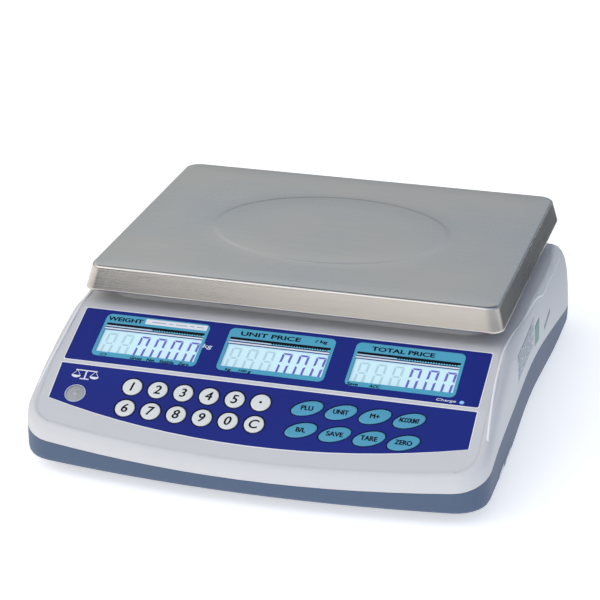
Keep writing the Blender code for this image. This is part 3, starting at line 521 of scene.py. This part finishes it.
def display_windows():
    """Each window's teal frame, its glass with lit and unlit figures, and the rules above it."""
    for name in DISPLAYS:
        x, v = DISPLAY.centre(name)
        glass_out = DISPLAY.span(name)[1][2]
        frame_loop = rounded_rectangle(-FRAME_HALF_WIDTH, FRAME_HALF_WIDTH, -FRAME_BELOW, FRAME_ABOVE,
                                       FRAME_CORNER)
        opening = box(-WINDOW[0] / 2, WINDOW[0] / 2, -WINDOW[1] / 2, WINDOW[1] / 2)
        printed(f"{name}_frame", stencil("frame", [frame_loop, opening], 0.06),
                DISPLAY.place(x, v, FIRST_PRINT), "print_teal")
        inner = glass_out + PRINT_THICKNESS / 2 + 0.02
        lit, ghost = [], []
        for index in range(DIGITS):
            is_lit = index >= DIGITS - LIT_DIGITS[name]
            (lit if is_lit else ghost).extend(segment_digit(DIGIT_LEFT + index * DIGIT_PITCH, is_lit))
        printed(f"{name}_lit_digits", stencil("lit", lit), DISPLAY.place(x, v, inner), "lcd_lit")
        printed(f"{name}_ghost_digits", stencil("ghost", ghost), DISPLAY.place(x, v, inner), "lcd_ghost")
        header(name, x, v)
        refined(name, "lcd_glass", 0.0)


def header(name, x, v):
    """The rules above a window: a white and a navy line, a pale band, and a black bar toothed on the right,
    which is a painted shadow of the bezel.
    """
    half, top = WINDOW[0] / 2, WINDOW[1] / 2
    teeth_start = TEETH_START[name]

    def rule(left, right, heights):
        return [box(left, right, top + heights[0], top + heights[1])]

    layers = (("white_line", rule(-half - 0.2, half, WHITE_LINE), SECOND_PRINT, "print_white"),
              ("navy_line", rule(-half - 0.2, half, NAVY_LINE), SECOND_PRINT, "lcd_line"),
              ("pale_band", rule(-half, teeth_start, PALE_BAND), SECOND_PRINT, "print_pale"),
              ("cyan_band", rule(teeth_start, half, PALE_BAND), SECOND_PRINT, "print_cyan"),
              ("bezel_shadow", rule(-half, half, BEZEL_SHADOW), THIRD_PRINT, "print_and_shadow_black"))
    for layer, loops, out, finish in layers:
        printed(f"{name}_{layer}", stencil(layer, loops), DISPLAY.place(x, v, out), finish)
    teeth = [[(start, top + TOOTH_ROOT), (start + TOOTH_PITCH / 2, top + TOOTH_TIP),
              (start + TOOTH_PITCH, top + TOOTH_ROOT)]
             for start in numpy.arange(teeth_start, half - TOOTH_PITCH, TOOTH_PITCH)]
    printed(f"{name}_teeth", stencil("teeth", teeth), DISPLAY.place(x, v, THIRD_PRINT), "print_and_shadow_black")


def recess_rim(node, panel):
    """A painted highlight: a pale band round an overlay, where the housing's rounded lip catches the light.
    """
    outline = [(x, v) for x, v, out in panel.flat(node) if abs(out) < 0.1]
    hull = [outline[index] for index in convex_hull_2d(outline)]
    low, high = numpy.min(hull, axis=0), numpy.max(hull, axis=0)
    middle, half = (low + high) / 2, (high - low) / 2
    loops = [[(middle[0] + (x - middle[0]) * (1 + grow / half[0]),
               middle[1] + (v - middle[1]) * (1 + grow / half[1])) for x, v in hull]
             for grow in (RIM_HIGHLIGHT_OUTER, RIM_HIGHLIGHT_INNER)]
    printed(f"{node}_rim", stencil("rim", loops, 0.1), panel.place(0.0, 0.0, 0.06), "painted_edge_highlight")


def panel_words():
    """Generic words only: what each window shows, its units, and the state flags under it."""
    for words, x, v, height, width in TITLES:
        name = "title_" + words.lower().replace(" ", "_").replace("/", "per")
        printed(name, lettering(name, words, height, width - TITLE_INSET, bold=TITLE_BOLD),
                DISPLAY.place(x, v, SECOND_PRINT), "print_and_shadow_black")
    for words, x, v, width in FLAGS:
        name = "flag_" + words.lower().replace(" ", "_")
        printed(name, lettering(name, words, FLAG_HEIGHT, width, slant=FLAG_SLANT, bold=FLAG_BOLD),
                DISPLAY.place(x, v, SECOND_PRINT), "print_and_shadow_black")
    strip = rounded_rectangle(*LABEL_STRIP, 0.4, 2)
    printed("blank_label_strip", stencil("strip", [strip]), DISPLAY.place(0.0, 0.0, SECOND_PRINT),
            "print_white")
    rules = [box(STRIP_RULE_START + start, STRIP_RULE_START + start + length, *STRIP_RULE_HEIGHTS)
             for start, length in STRIP_RULES]
    printed("label_strip_rules", stencil("rules", rules), DISPLAY.place(0.0, 0.0, THIRD_PRINT), "label_rule")
    cell = [box(-118.6, -114.9, 8.4, 10.5), box(-118.2, -115.3, 8.8, 10.1), box(-114.8, -114.3, 9.0, 9.9)]
    printed("battery_flag", stencil("cell", cell), DISPLAY.place(0.0, 0.0, SECOND_PRINT), "print_and_shadow_black")
    printed("kg_word", lettering("kg_word", "kg", 4.8, 6.4, slant=0.1, bold=0.05),
            DISPLAY.place(-48.1, 27.4), "print_white")
    printed("charge_word", lettering("charge_word", "Charge", 2.6, 13.0, slant=0.2, bold=0.05),
            DISPLAY.place(120.6, 4.7), "print_white")


def balance_pictogram():
    """A plain pair of scale pans, in the corner above the level."""
    loops = [box(-0.5, 0.5, -3.6, 2.6), box(-3.2, 3.2, -4.4, -3.6), box(-7.6, 7.6, 2.6, 3.4)]
    for side in (-1, 1):
        centre = side * 6.4
        loops.append([(centre, 2.6), (centre + 0.35, 2.6), (centre + 3.0, -1.4), (centre + 2.6, -1.4)])
        loops.append([(centre, 2.6), (centre - 0.35, 2.6), (centre - 3.0, -1.4), (centre - 2.6, -1.4)])
        pan = [(centre + 3.2 * math.cos(angle), -1.4 + 2.0 * math.sin(angle))
               for angle in numpy.linspace(math.pi, math.tau, 13)]
        loops.append(pan)
    printed("balance_pictogram", stencil("pans", loops), KEYPAD.place(*PICTOGRAM_PLACE), "print_white")


# ---------------------------------------------------------------- keys, level and lamp
def crown(share, proud):
    """Height of a key's top at a share of its radius: a low dome with a rounded rim."""
    rim = proud - KEY_RIM_DROP
    if share < KEY_RIM:
        return proud - KEY_RIM_DROP * (share / KEY_RIM) ** 2
    turn = min((share - KEY_RIM) / (1 - KEY_RIM), 1.0)
    return KEY_EDGE + (rim - KEY_EDGE) * math.sqrt(1 - turn ** 2)


class Key:
    """Where a key is on the panel, how it is turned, and how large and how proud its cap is."""

    def __init__(self, node):
        self.node = node
        self.slant = FUNCTION_SLANT if node in FUNCTION_LEGENDS else 0.0
        self.x, self.v = KEYPAD.centre(node)
        low, high = KEYPAD.span(node, self.x, self.v, self.slant)
        self.radii = (high[0] - low[0]) / 2, (high[1] - low[1]) / 2
        self.foot, self.proud = low[2], high[2]

    def place(self, out=0.0, turned=True):
        """The middle of the key on the panel, turned with its oval or square to the panel."""
        turn = Matrix.Rotation(self.slant if turned else 0.0, 4, "Z")
        return KEYPAD.place(self.x, self.v, out) @ turn

    def cap(self, finish):
        """The domed cap, with a skirt and a stem down to the key's foot."""
        radius, short = self.radii
        shares = [*CAP_SHARES, *(KEY_RIM + (1 - KEY_RIM) * step / CAP_RIM_STEPS
                                 for step in range(CAP_RIM_STEPS + 1))]
        profile = [(radius * share, crown(share, self.proud)) for share in shares]
        profile += [(radius, -3.0), (radius * 0.5, -3.4), (radius * 0.5, self.foot), (0.0, self.foot)]
        made = revolved(f"{self.node}_cap", profile, self.place(), finish, self.node, squash=short / radius)
        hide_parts(self.node)

    def ring(self, grow, width):
        """The printed outline round the key, on the panel."""
        radius, short = self.radii
        inner = oval(radius + grow, short + grow)
        outer = oval(radius + grow + width, short + grow + width)
        printed(f"{self.node}_ring", stencil("ring", [outer, inner]), self.place(PRINT_THICKNESS),
                "print_and_shadow_black")

    def legend(self, mesh):
        """Cut a flat legend into small faces and lay it on the crown."""
        bm = bmesh.new()
        bm.from_mesh(mesh)
        reach = int(self.radii[0]) + 1
        for axis in (0, 1):
            for offset in numpy.arange(-reach, reach, LEGEND_CELL):
                normal = [0.0, 0.0, 0.0]
                normal[axis] = 1.0
                bmesh.ops.bisect_plane(bm, geom=bm.verts[:] + bm.edges[:] + bm.faces[:],
                                       plane_co=[offset * value for value in normal], plane_no=normal)
        for vertex in bm.verts:
            flat = Matrix.Rotation(-self.slant, 2) @ vertex.co.to_2d()
            share = math.hypot(flat.x / self.radii[0], flat.y / self.radii[1])
            vertex.co.z += crown(share, self.proud) + LEGEND_LIFT
        bm.to_mesh(mesh)
        bm.free()
        printed(f"{self.node}_legend", mesh, self.place(turned=False), "print_and_shadow_black", self.node)


def keys():
    """Grey number keys and teal function keys, each with its ring on the panel and its legend on the cap."""
    for node in list(NUMBER_LEGENDS) + ["key_point"]:
        key = Key(node)
        key.cap("key_grey")
        key.ring(*NUMBER_RING)
        if node == "key_point":
            key.legend(stencil("point_legend", [oval(0.95, 0.95, 24)]))
        else:
            key.legend(lettering(node + "_legend", NUMBER_LEGENDS[node], NUMBER_HEIGHT, slant=NUMBER_SLANT,
                                 bold=NUMBER_BOLD))
    for node, (words, width) in FUNCTION_LEGENDS.items():
        key = Key(node)
        key.cap("key_teal")
        key.ring(*FUNCTION_RING)
        key.legend(lettering(node + "_legend", words, FUNCTION_HEIGHT, width - FUNCTION_INSET,
                             bold=FUNCTION_BOLD))


def level_and_lamp():
    """The level's grey glass with its pale rim, faint ring and bubble, and the blue lamp's lens."""
    x, v = KEYPAD.centre("level_vial")
    low, high = KEYPAD.span("level_vial")
    radius = (high[0] - low[0]) / 2
    profile = [(0.0, -0.25), (radius * 0.5, -0.3), (radius * 0.85, -0.45), (radius * 0.97, -0.7),
               (radius, -1.2), (radius, low[2]), (0.0, low[2])]
    made = revolved("level_vial_glass", profile, KEYPAD.place(x, v, 0.0), "level_glass", "base")
    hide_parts("level_vial")
    rim = [oval(radius + 0.1, radius + 0.1), oval(radius - 0.55, radius - 0.55)]
    printed("level_rim", stencil("ring", rim, 0.08), KEYPAD.place(x, v, 0.02), "level_rim")
    printed("level_ring", stencil("ring", [oval(2.9, 2.9), oval(2.65, 2.65)]), KEYPAD.place(x, v, -0.22),
            "level_mark")
    bubble = [(0.0, 0.32), (1.0, 0.24), (1.7, 0.05), (1.95, -0.2), (1.6, -0.45), (0.0, -0.5)]
    revolved("level_bubble", bubble, KEYPAD.place(x + 0.4, v + 0.3, -0.25), "level_bubble", "base", 32)
    x, v = DISPLAY.centre("charge_lamp")
    low, high = DISPLAY.span("charge_lamp")
    radius = (high[0] - low[0]) / 2
    profile = [(0.0, high[2]), (radius * 0.5, high[2] - 0.1), (radius * 0.85, high[2] - 0.4), (radius, -0.3),
               (radius, low[2]), (0.0, low[2])]
    made = revolved("charge_lamp_lens", profile, DISPLAY.place(x, v, 0.0), "lamp_lens", "base", 32)
    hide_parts("charge_lamp")


# ---------------------------------------------------------------- platter
def tray_outline(half_width, half_depth, radius):
    """A rounded rectangle with points all along its sides, so that rings inside it can turn into an oval."""
    corners = rounded_rectangle(-half_width, half_width, -half_depth, half_depth, radius, 10)
    points = []
    for start, end in zip(corners, corners[1:] + corners[:1]):
        count = max(int(math.dist(start, end) / TRAY_POINT_SPACING), 1)
        points += [(start[0] + (end[0] - start[0]) * step / count,
                    start[1] + (end[1] - start[1]) * step / count) for step in range(count)]
    return points


def oval_under(point, share):
    """The point of the pressed oval, grown by a share, in the same direction from the middle."""
    angle = math.atan2(point[1] / OVAL_RADII[1], point[0] / OVAL_RADII[0])
    return OVAL_RADII[0] * share * math.cos(angle), OVAL_RADII[1] * share * math.sin(angle)


def platter():
    """Pressed tray: hemmed skirt, small rolled edge, flat top and a raised oval with a soft step."""
    low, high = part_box("platter")
    half_width, half_depth = (high.x - low.x) / 2 / MM, (high.y - low.y) / 2 / MM
    centre_y = (high.y + low.y) / 2 / MM
    top, skirt = high.z / MM, low.z / MM
    flat = top - OVAL_RISE
    wall = [(0.0, skirt), (0.25, skirt + 1.2), (TRAY_TAPER, flat - TRAY_ROLL)]
    for turn in range(1, 8):
        angle = math.radians(90 * turn / 7)
        wall.append((TRAY_TAPER + TRAY_ROLL * (1 - math.cos(angle)),
                     flat - TRAY_ROLL * (1 - math.sin(angle))))
    rings = []
    outline = tray_outline(half_width, half_depth, TRAY_CORNER)
    for inset, height in wall:
        rings.append([(x * (1 - inset / half_width), y * (1 - inset / half_depth), height)
                      for x, y in outline])
    edge = rings[-1]
    for share in (0.3, 0.6, 0.85):
        outer = [oval_under(point, 1.03) for point in edge]
        rings.append([(x + (ox - x) * share, y + (oy - y) * share, flat)
                      for (x, y, _), (ox, oy) in zip(edge, outer)])
    for share, height in ((1.03, flat), (1.02, flat + 0.05), (1.0, flat + OVAL_RISE / 2), (0.98, top - 0.05),
                          (0.97, top), (0.65, top), (0.3, top)):
        rings.append([(*oval_under(point, share), height) for point in edge])
    bm = bmesh.new()
    rows = [[bm.verts.new((x, y + centre_y, z)) for x, y, z in ring] for ring in rings]
    count = len(outline)
    for outer, inner in zip(rows, rows[1:]):
        for index in range(count):
            following = (index + 1) % count
            bm.faces.new((outer[index], outer[following], inner[following], inner[index]))
    middle = bm.verts.new((0.0, centre_y, top))
    for index in range(count):
        bm.faces.new((rows[-1][index], rows[-1][(index + 1) % count], middle))
    made = piece("platter_tray", to_mesh("platter_tray", bm), "platter_steel", "platter", sharp=60)
    if made.data.polygons[-1].normal.z < 0:
        made.data.flip_normals()
    # the walls take the warmer steel, whose tint is a painted warm reflection
    made.data.materials.append(MATERIALS["platter_wall"])
    for face in made.data.polygons:
        if abs(face.normal.z) < 0.6:
            face.material_index = 1
    sheet = made.modifiers.new("sheet", "SOLIDIFY")
    sheet.thickness = TRAY_SHEET * MM
    sheet.offset = -1.0
    apply_modifiers(made)
    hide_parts("platter")


# ---------------------------------------------------------------- housings and labels
def housings():
    return refined("top_housing", "light_housing"), refined("bottom_housing", "slate_housing")


def film(name, patches, target, finish, steps=10, lift=0.06):
    """Thin film on the right flank: each patch is four (y, z) corners in millimetres, laid on the surface."""
    bm = bmesh.new()
    for corners in patches:
        low_a, low_b, high_b, high_a = [Vector((0.0, y, z)) for y, z in corners]
        grid = []
        for row in range(steps + 1):
            start, end = low_a.lerp(high_a, row / steps), low_b.lerp(high_b, row / steps)
            line = []
            for column in range(steps + 1):
                point = start.lerp(end, column / steps) * MM
                hit, place, normal, _ = target.ray_cast(Vector((0.3, point.y, point.z)), Vector((-1, 0, 0)))
                line.append(bm.verts.new((place + normal * lift * MM) if hit else point))
            grid.append(line)
        for row in range(steps):
            for column in range(steps):
                bm.faces.new((grid[row][column], grid[row][column + 1],
                              grid[row + 1][column + 1], grid[row + 1][column]))
    made = piece(name, to_mesh(name, bm, unit=1.0), finish, "base")
    sheet = made.modifiers.new("film", "SOLIDIFY")
    sheet.thickness = FILM_THICKNESS * MM
    apply_modifiers(made)
    return made


def flank_labels(top, bottom):
    """Blank labels where the real one carries its data: plain rules stand for the lines of text."""
    film("flank_label", [DATA_LABEL], top, "label_film")
    film("flank_label_square", [SQUARE_LABEL], top, "label_green")
    film("flank_seal", [SEAL_LABEL], top, "label_rule", 4)
    rows = []
    for index in range(LABEL_ROWS):
        low = FIRST_ROW + ROW_PITCH * index
        for start, end in LABEL_DASHES[index % len(LABEL_DASHES)]:
            rows.append(((start, low), (end, low), (end, low + ROW_HEIGHT), (start, low + ROW_HEIGHT)))
    film("flank_rules", rows, top, "label_rule", 4, 0.12)
    edge = [((front, 12.0), (back, 13.2), (back, 18.0), (front, 16.0)) for front, back in EDGE_LABELS]
    film("edge_labels", edge, bottom, "label_film", 6, 0.25)


def flank_beads():
    """The moulded bead along the top of each flank, up from the front corner and back to the rear one; its
    pale colour is a painted highlight.
    """
    for side, name in ((1, "right"), (-1, "left")):
        curve = bpy.data.curves.new(f"{name}_bead", "CURVE")
        curve.dimensions = "3D"
        curve.bevel_depth = BEAD_RADIUS * MM
        curve.bevel_resolution = 3
        curve.use_fill_caps = True
        spline = curve.splines.new("NURBS")
        spline.points.add(len(BEAD_PATH) - 1)
        for point, (x, y, z) in zip(spline.points, BEAD_PATH):
            point.co = (side * x * MM, y * MM, z * MM, 1.0)
        spline.use_endpoint_u = True
        spline.order_u = 3
        spline.resolution_u = 6
        # the pale finish is a painted highlight along the bead's ridge
        piece(f"{name}_bead", evaluated(f"{name}_bead", curve), "painted_edge_highlight", "base")


# ---------------------------------------------------------------- everything else
def plain_parts():
    """Every node that keeps its CAD shape, with joined corners and, on some, small rounded edges."""
    finishes = {item["node"]: item["material_slot"] for item in frame["record"]["subparts"]}
    for node in ("display_overlay", "keypad_overlay"):
        refined(node, "overlay_blue")
    rounded = {"battery_door": 0.4, "battery": 0.0, "switch_body": 0.0, "power_rocker": 0.3,
               "power_jack": 0.0, "platter_support": 0.0, "load_cell": 0.3, "lower_spacer": 0.3,
               "upper_spacer": 0.3, "display_board": 0.0, "keypad_board": 0.0, "main_board": 0.0}
    for node, bevel in rounded.items():
        refined(node, finishes[node], bevel)
    for node in finishes:
        if node.startswith(("platter_pad", "lower_bolt", "upper_bolt", "foot_sole", "foot_screw")):
            refined(node, finishes[node])


# ---------------------------------------------------------------- studio
def floor():
    """A plain white sheet with a little light of its own, so that it stays white in the shade."""
    bm = bmesh.new()
    bmesh.ops.create_grid(bm, x_segments=1, y_segments=1, size=8.0)
    mesh = bpy.data.meshes.new("floor")
    bm.to_mesh(mesh)
    bm.free()
    made = bpy.data.objects.new("floor", mesh)
    bpy.context.scene.collection.objects.link(made)
    mesh.materials.append(procedural("floor_paper", (0.86, 0.86, 0.86), 0.9, shade=0.005, bump=0.0,
                                     Emission_Strength=FLOOR_GLOW, Emission_Color=(1.0, 1.0, 1.0, 1.0)))


def area_light(name, place, aim, size, power, colour=(1.0, 1.0, 1.0)):
    """A soft light that isn't mirrored in the steel or the panel."""
    light = bpy.data.lights.new(name, "AREA")
    light.shape = "RECTANGLE"
    light.size, light.size_y = size
    light.energy = power
    light.color = colour
    made = bpy.data.objects.new(name, light)
    bpy.context.scene.collection.objects.link(made)
    made.location = place
    made.rotation_euler = (Vector(aim) - Vector(place)).to_track_quat("-Z", "Y").to_euler()
    made.visible_glossy = False


def reflector(name, place, aim, size, colour, strength):
    """A card seen only in reflections: it shades what the steel mirrors and lights nothing."""
    bm = bmesh.new()
    bmesh.ops.create_grid(bm, x_segments=1, y_segments=1, size=0.5)
    bmesh.ops.scale(bm, vec=(size[0], size[1], 1.0), verts=bm.verts)
    mesh = bpy.data.meshes.new(name)
    bm.to_mesh(mesh)
    bm.free()
    made = bpy.data.objects.new(name, mesh)
    bpy.context.scene.collection.objects.link(made)
    made.location = place
    made.rotation_euler = (Vector(aim) - Vector(place)).to_track_quat("Z", "Y").to_euler()
    card = bpy.data.materials.new(name)
    card.use_nodes = True
    shader = card.node_tree.nodes["Principled BSDF"]
    shader.inputs["Base Color"].default_value = (0, 0, 0, 1)
    shader.inputs["Roughness"].default_value = 1.0
    shader.inputs["Emission Color"].default_value = (*colour, 1.0)
    shader.inputs["Emission Strength"].default_value = strength
    mesh.materials.append(card)
    made.visible_camera = False
    made.visible_diffuse = False
    made.visible_shadow = False
    made.visible_transmission = False


def world():
    """Plain soft light: warm low in front, bright higher up, grey behind, cooler and dimmer on the right."""
    made = bpy.data.worlds.new("studio")
    bpy.context.scene.world = made
    made.use_nodes = True
    nodes, links = made.node_tree.nodes, made.node_tree.links
    place = nodes.new("ShaderNodeTexCoord")
    split = nodes.new("ShaderNodeSeparateXYZ")
    links.new(place.outputs["Generated"], split.inputs["Vector"])
    ramps = {}
    for side, stops in SKY.items():
        height = nodes.new("ShaderNodeMapRange")
        height.inputs["From Min"].default_value = SKY_LOWEST
        links.new(split.outputs["Z"], height.inputs["Value"])
        ramp = nodes.new("ShaderNodeValToRGB")
        for index, (z, colour) in enumerate(stops):
            position = (z - SKY_LOWEST) / (1.0 - SKY_LOWEST)
            stop = ramp.color_ramp.elements[index] if index < 2 else ramp.color_ramp.elements.new(position)
            stop.position = position
            stop.color = (*colour, 1.0)
        links.new(height.outputs["Result"], ramp.inputs["Fac"])
        ramps[side] = ramp.outputs["Color"]
    around = blended(nodes, links, split.outputs["Y"], ramps["front"], ramps["back"], 0.35)
    tinted = nodes.new("ShaderNodeMix")
    tinted.data_type = "RGBA"
    tinted.blend_type = "MULTIPLY"
    tinted.inputs["Factor"].default_value = 1.0
    links.new(around, tinted.inputs["A"])
    tinted.inputs["B"].default_value = (*RIGHT_TINT, 1.0)
    cooler = blended(nodes, links, split.outputs["X"], around, tinted.outputs["Result"], 0.6)
    links.new(cooler, nodes["Background"].inputs["Color"])
    nodes["Background"].inputs["Strength"].default_value = SKY_STRENGTH


def blended(nodes, links, axis, first, second, reach):
    """One colour where an axis is below -reach, the other above reach, and a smooth change between."""
    spread = nodes.new("ShaderNodeMapRange")
    spread.inputs["From Min"].default_value = -reach
    spread.inputs["From Max"].default_value = reach
    links.new(axis, spread.inputs["Value"])
    mix = nodes.new("ShaderNodeMix")
    mix.data_type = "RGBA"
    links.new(spread.outputs["Result"], mix.inputs["Factor"])
    links.new(first, mix.inputs["A"])
    links.new(second, mix.inputs["B"])
    return mix.outputs["Result"]


def camera():
    lens = bpy.data.cameras.new("camera")
    lens.sensor_width = SENSOR_WIDTH
    lens.lens = LENS
    lens.shift_x = CAMERA_SHIFT
    made = bpy.data.objects.new("camera", lens)
    bpy.context.scene.collection.objects.link(made)
    made.location = CAMERA_PLACE
    made.rotation_euler = (CAMERA_PITCH, 0.0, CAMERA_YAW)
    bpy.context.scene.camera = made


def studio():
    camera()
    floor()
    world()
    area_light("overhead", (-0.2, -0.5, 1.6), (0.0, 0.0, 0.05), (1.4, 1.2), 0.4)
    area_light("front", (0.0, -1.65, 0.62), (0.0, -0.05, 0.08), (1.8, 0.8), 3.2, (1.0, 0.99, 0.98))
    area_light("right", (1.5, -0.35, 0.55), (0.1, 0.0, 0.06), (0.9, 0.7), 0.7, (0.85, 0.91, 1.0))
    reflector("right_flag", (0.55, 0.62, 0.004), (0.55, 0.62, 1.0), (0.7, 0.9), (0.02, 0.035, 0.05), 1.0)
    reflector("left_flag", (-0.72, -1.02, 0.16), (-0.2, 0.0, 0.09), (0.76, 0.9), (0.10, 0.14, 0.20), 0.5)
    bpy.context.scene.view_settings.view_transform = "Standard"


studio()
TOP, BOTTOM = housings()
plain_parts()
recess_rim("display_overlay", DISPLAY)
recess_rim("keypad_overlay", KEYPAD)
display_windows()
panel_words()
balance_pictogram()
keys()
level_and_lamp()
platter()
flank_labels(TOP, BOTTOM)
flank_beads()
